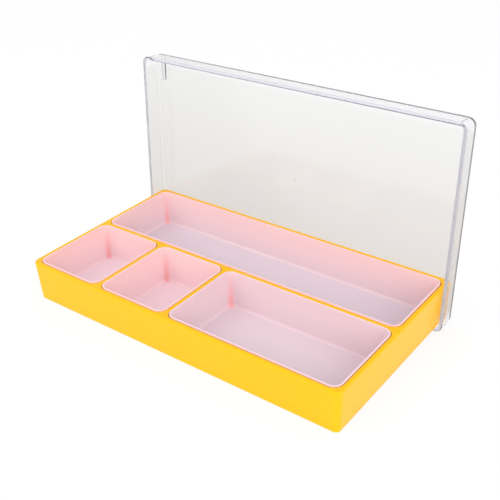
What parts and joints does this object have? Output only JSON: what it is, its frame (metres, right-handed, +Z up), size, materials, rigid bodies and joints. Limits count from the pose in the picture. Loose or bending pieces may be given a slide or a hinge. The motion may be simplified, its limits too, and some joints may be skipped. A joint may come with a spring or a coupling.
{
  "type": "parts storage box",
  "caption": "Low parts storage tray whose bays each hold a lift-out bin, with its clear cover taken off and standing on edge behind it.",
  "frame": {"origin": "on the surface the box stands on, under the middle of the whole", "axes": "+X to the user's right along the tray, +Y away from the user, +Z up"},
  "size_m": [0.2458, 0.1384, 0.1378],
  "materials": {
    "tray": "glossy, opaque yellow, moulded",
    "bin": "satin, slightly see-through pink, moulded",
    "lid": "glossy, clear, moulded"
  },
  "bodies": {
    "tray": {"tray": "tray"},
    "bin_front_left": {"bin_front_left": "bin"},
    "bin_front_middle": {"bin_front_middle": "bin"},
    "bin_front_right": {"bin_front_right": "bin"},
    "bin_back": {"bin_back": "bin"},
    "lid": {"lid": "lid"}
  },
  "joints": [
    {"name": "bin_front_left_lift", "type": "slide", "parent": "tray", "child": "bin_front_left", "axis": [0, -0.0254, 0.9997], "range_m": [0, 0.045]},
    {"name": "bin_front_middle_lift", "type": "slide", "parent": "tray", "child": "bin_front_middle", "axis": [0, -0.0254, 0.9997], "range_m": [0, 0.045]},
    {"name": "bin_front_right_lift", "type": "slide", "parent": "tray", "child": "bin_front_right", "axis": [0, -0.0254, 0.9997], "range_m": [0, 0.045]},
    {"name": "bin_back_lift", "type": "slide", "parent": "tray", "child": "bin_back", "axis": [0, -0.0254, 0.9997], "range_m": [0, 0.045]},
    {"name": "lid_pull", "type": "slide", "parent": "tray", "child": "lid", "axis": [0, 1, 0], "range_m": [0, 0.06]}
  ]
}
